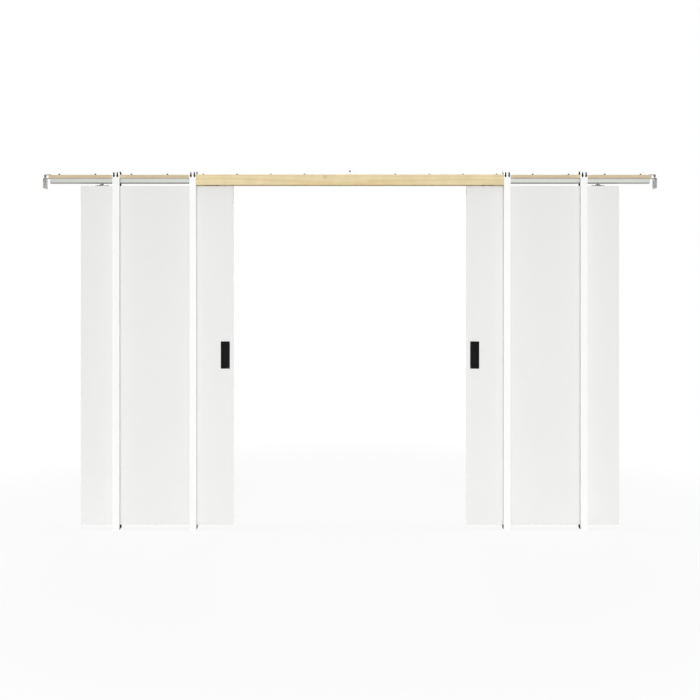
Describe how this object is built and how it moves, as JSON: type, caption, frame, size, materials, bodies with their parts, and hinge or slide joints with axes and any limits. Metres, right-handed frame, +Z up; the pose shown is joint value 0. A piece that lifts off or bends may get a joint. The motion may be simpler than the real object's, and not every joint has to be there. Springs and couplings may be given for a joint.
{
  "type": "double pocket door frame",
  "caption": "Double pocket door frame: pine header with aluminium track, white channel stud pairs and flush doors that slide out of both pockets to meet in the middle.",
  "frame": {"origin": "middle of the left jamb floor shoe's underside, on the floor", "axes": "+X along the wall to the right as seen from the front, +Y from front to rear, +Z up"},
  "size_m": [3.669, 0.089, 2.157],
  "materials": {
    "pine": "planed",
    "track_aluminium": "satin",
    "stop_rubber": "moulded",
    "bracket_steel": "zinc plated",
    "stud_steel": "white coil coat",
    "saddle_steel": "dull black coat",
    "hanger_steel": "dark zinc",
    "wheel_nylon": "moulded",
    "door_paint": "white primer paint",
    "pull_black": "matt black"
  },
  "bodies": {
    "frame": {"left_header_board": "pine", "left_track": "track_aluminium", "left_track_stops": "stop_rubber", "left_end_bracket": "bracket_steel", "left_jamb_front_stud": "stud_steel", "left_jamb_rear_stud": "stud_steel", "left_jamb_stud_cap": "saddle_steel", "left_jamb_floor_shoe": "saddle_steel", "left_outer_front_stud": "stud_steel", "left_outer_rear_stud": "stud_steel", "left_outer_stud_cap": "saddle_steel", "left_outer_floor_shoe": "saddle_steel", "right_header_board": "pine", "right_track": "track_aluminium", "right_track_stops": "stop_rubber", "right_end_bracket": "bracket_steel", "right_jamb_front_stud": "stud_steel", "right_jamb_rear_stud": "stud_steel", "right_jamb_stud_cap": "saddle_steel", "right_jamb_floor_shoe": "saddle_steel", "right_outer_front_stud": "stud_steel", "right_outer_rear_stud": "stud_steel", "right_outer_stud_cap": "saddle_steel", "right_outer_floor_shoe": "saddle_steel", "front_nailer": "pine", "rear_nailer": "pine", "header_joiner": "stud_steel", "joiner_bolt": "hanger_steel"},
    "left_door": {"left_door_slab": "door_paint", "left_door_front_pull": "pull_black", "left_door_rear_pull": "pull_black", "left_hanger_straps": "hanger_steel", "left_hanger_bolts": "bracket_steel", "left_trolleys": "hanger_steel", "left_trolley_wheels": "wheel_nylon"},
    "right_door": {"right_door_slab": "door_paint", "right_door_front_pull": "pull_black", "right_door_rear_pull": "pull_black", "right_hanger_straps": "hanger_steel", "right_hanger_bolts": "bracket_steel", "right_trolleys": "hanger_steel", "right_trolley_wheels": "wheel_nylon"}
  },
  "joints": [
    {"name": "left_door_slide", "type": "slide", "parent": "frame", "child": "left_door", "axis": [-1, 0, 0], "range_m": [-0.6985, 0.1985]},
    {"name": "right_door_slide", "type": "slide", "parent": "frame", "child": "right_door", "axis": [1, 0, 0], "range_m": [-0.6985, 0.1985]}
  ]
}
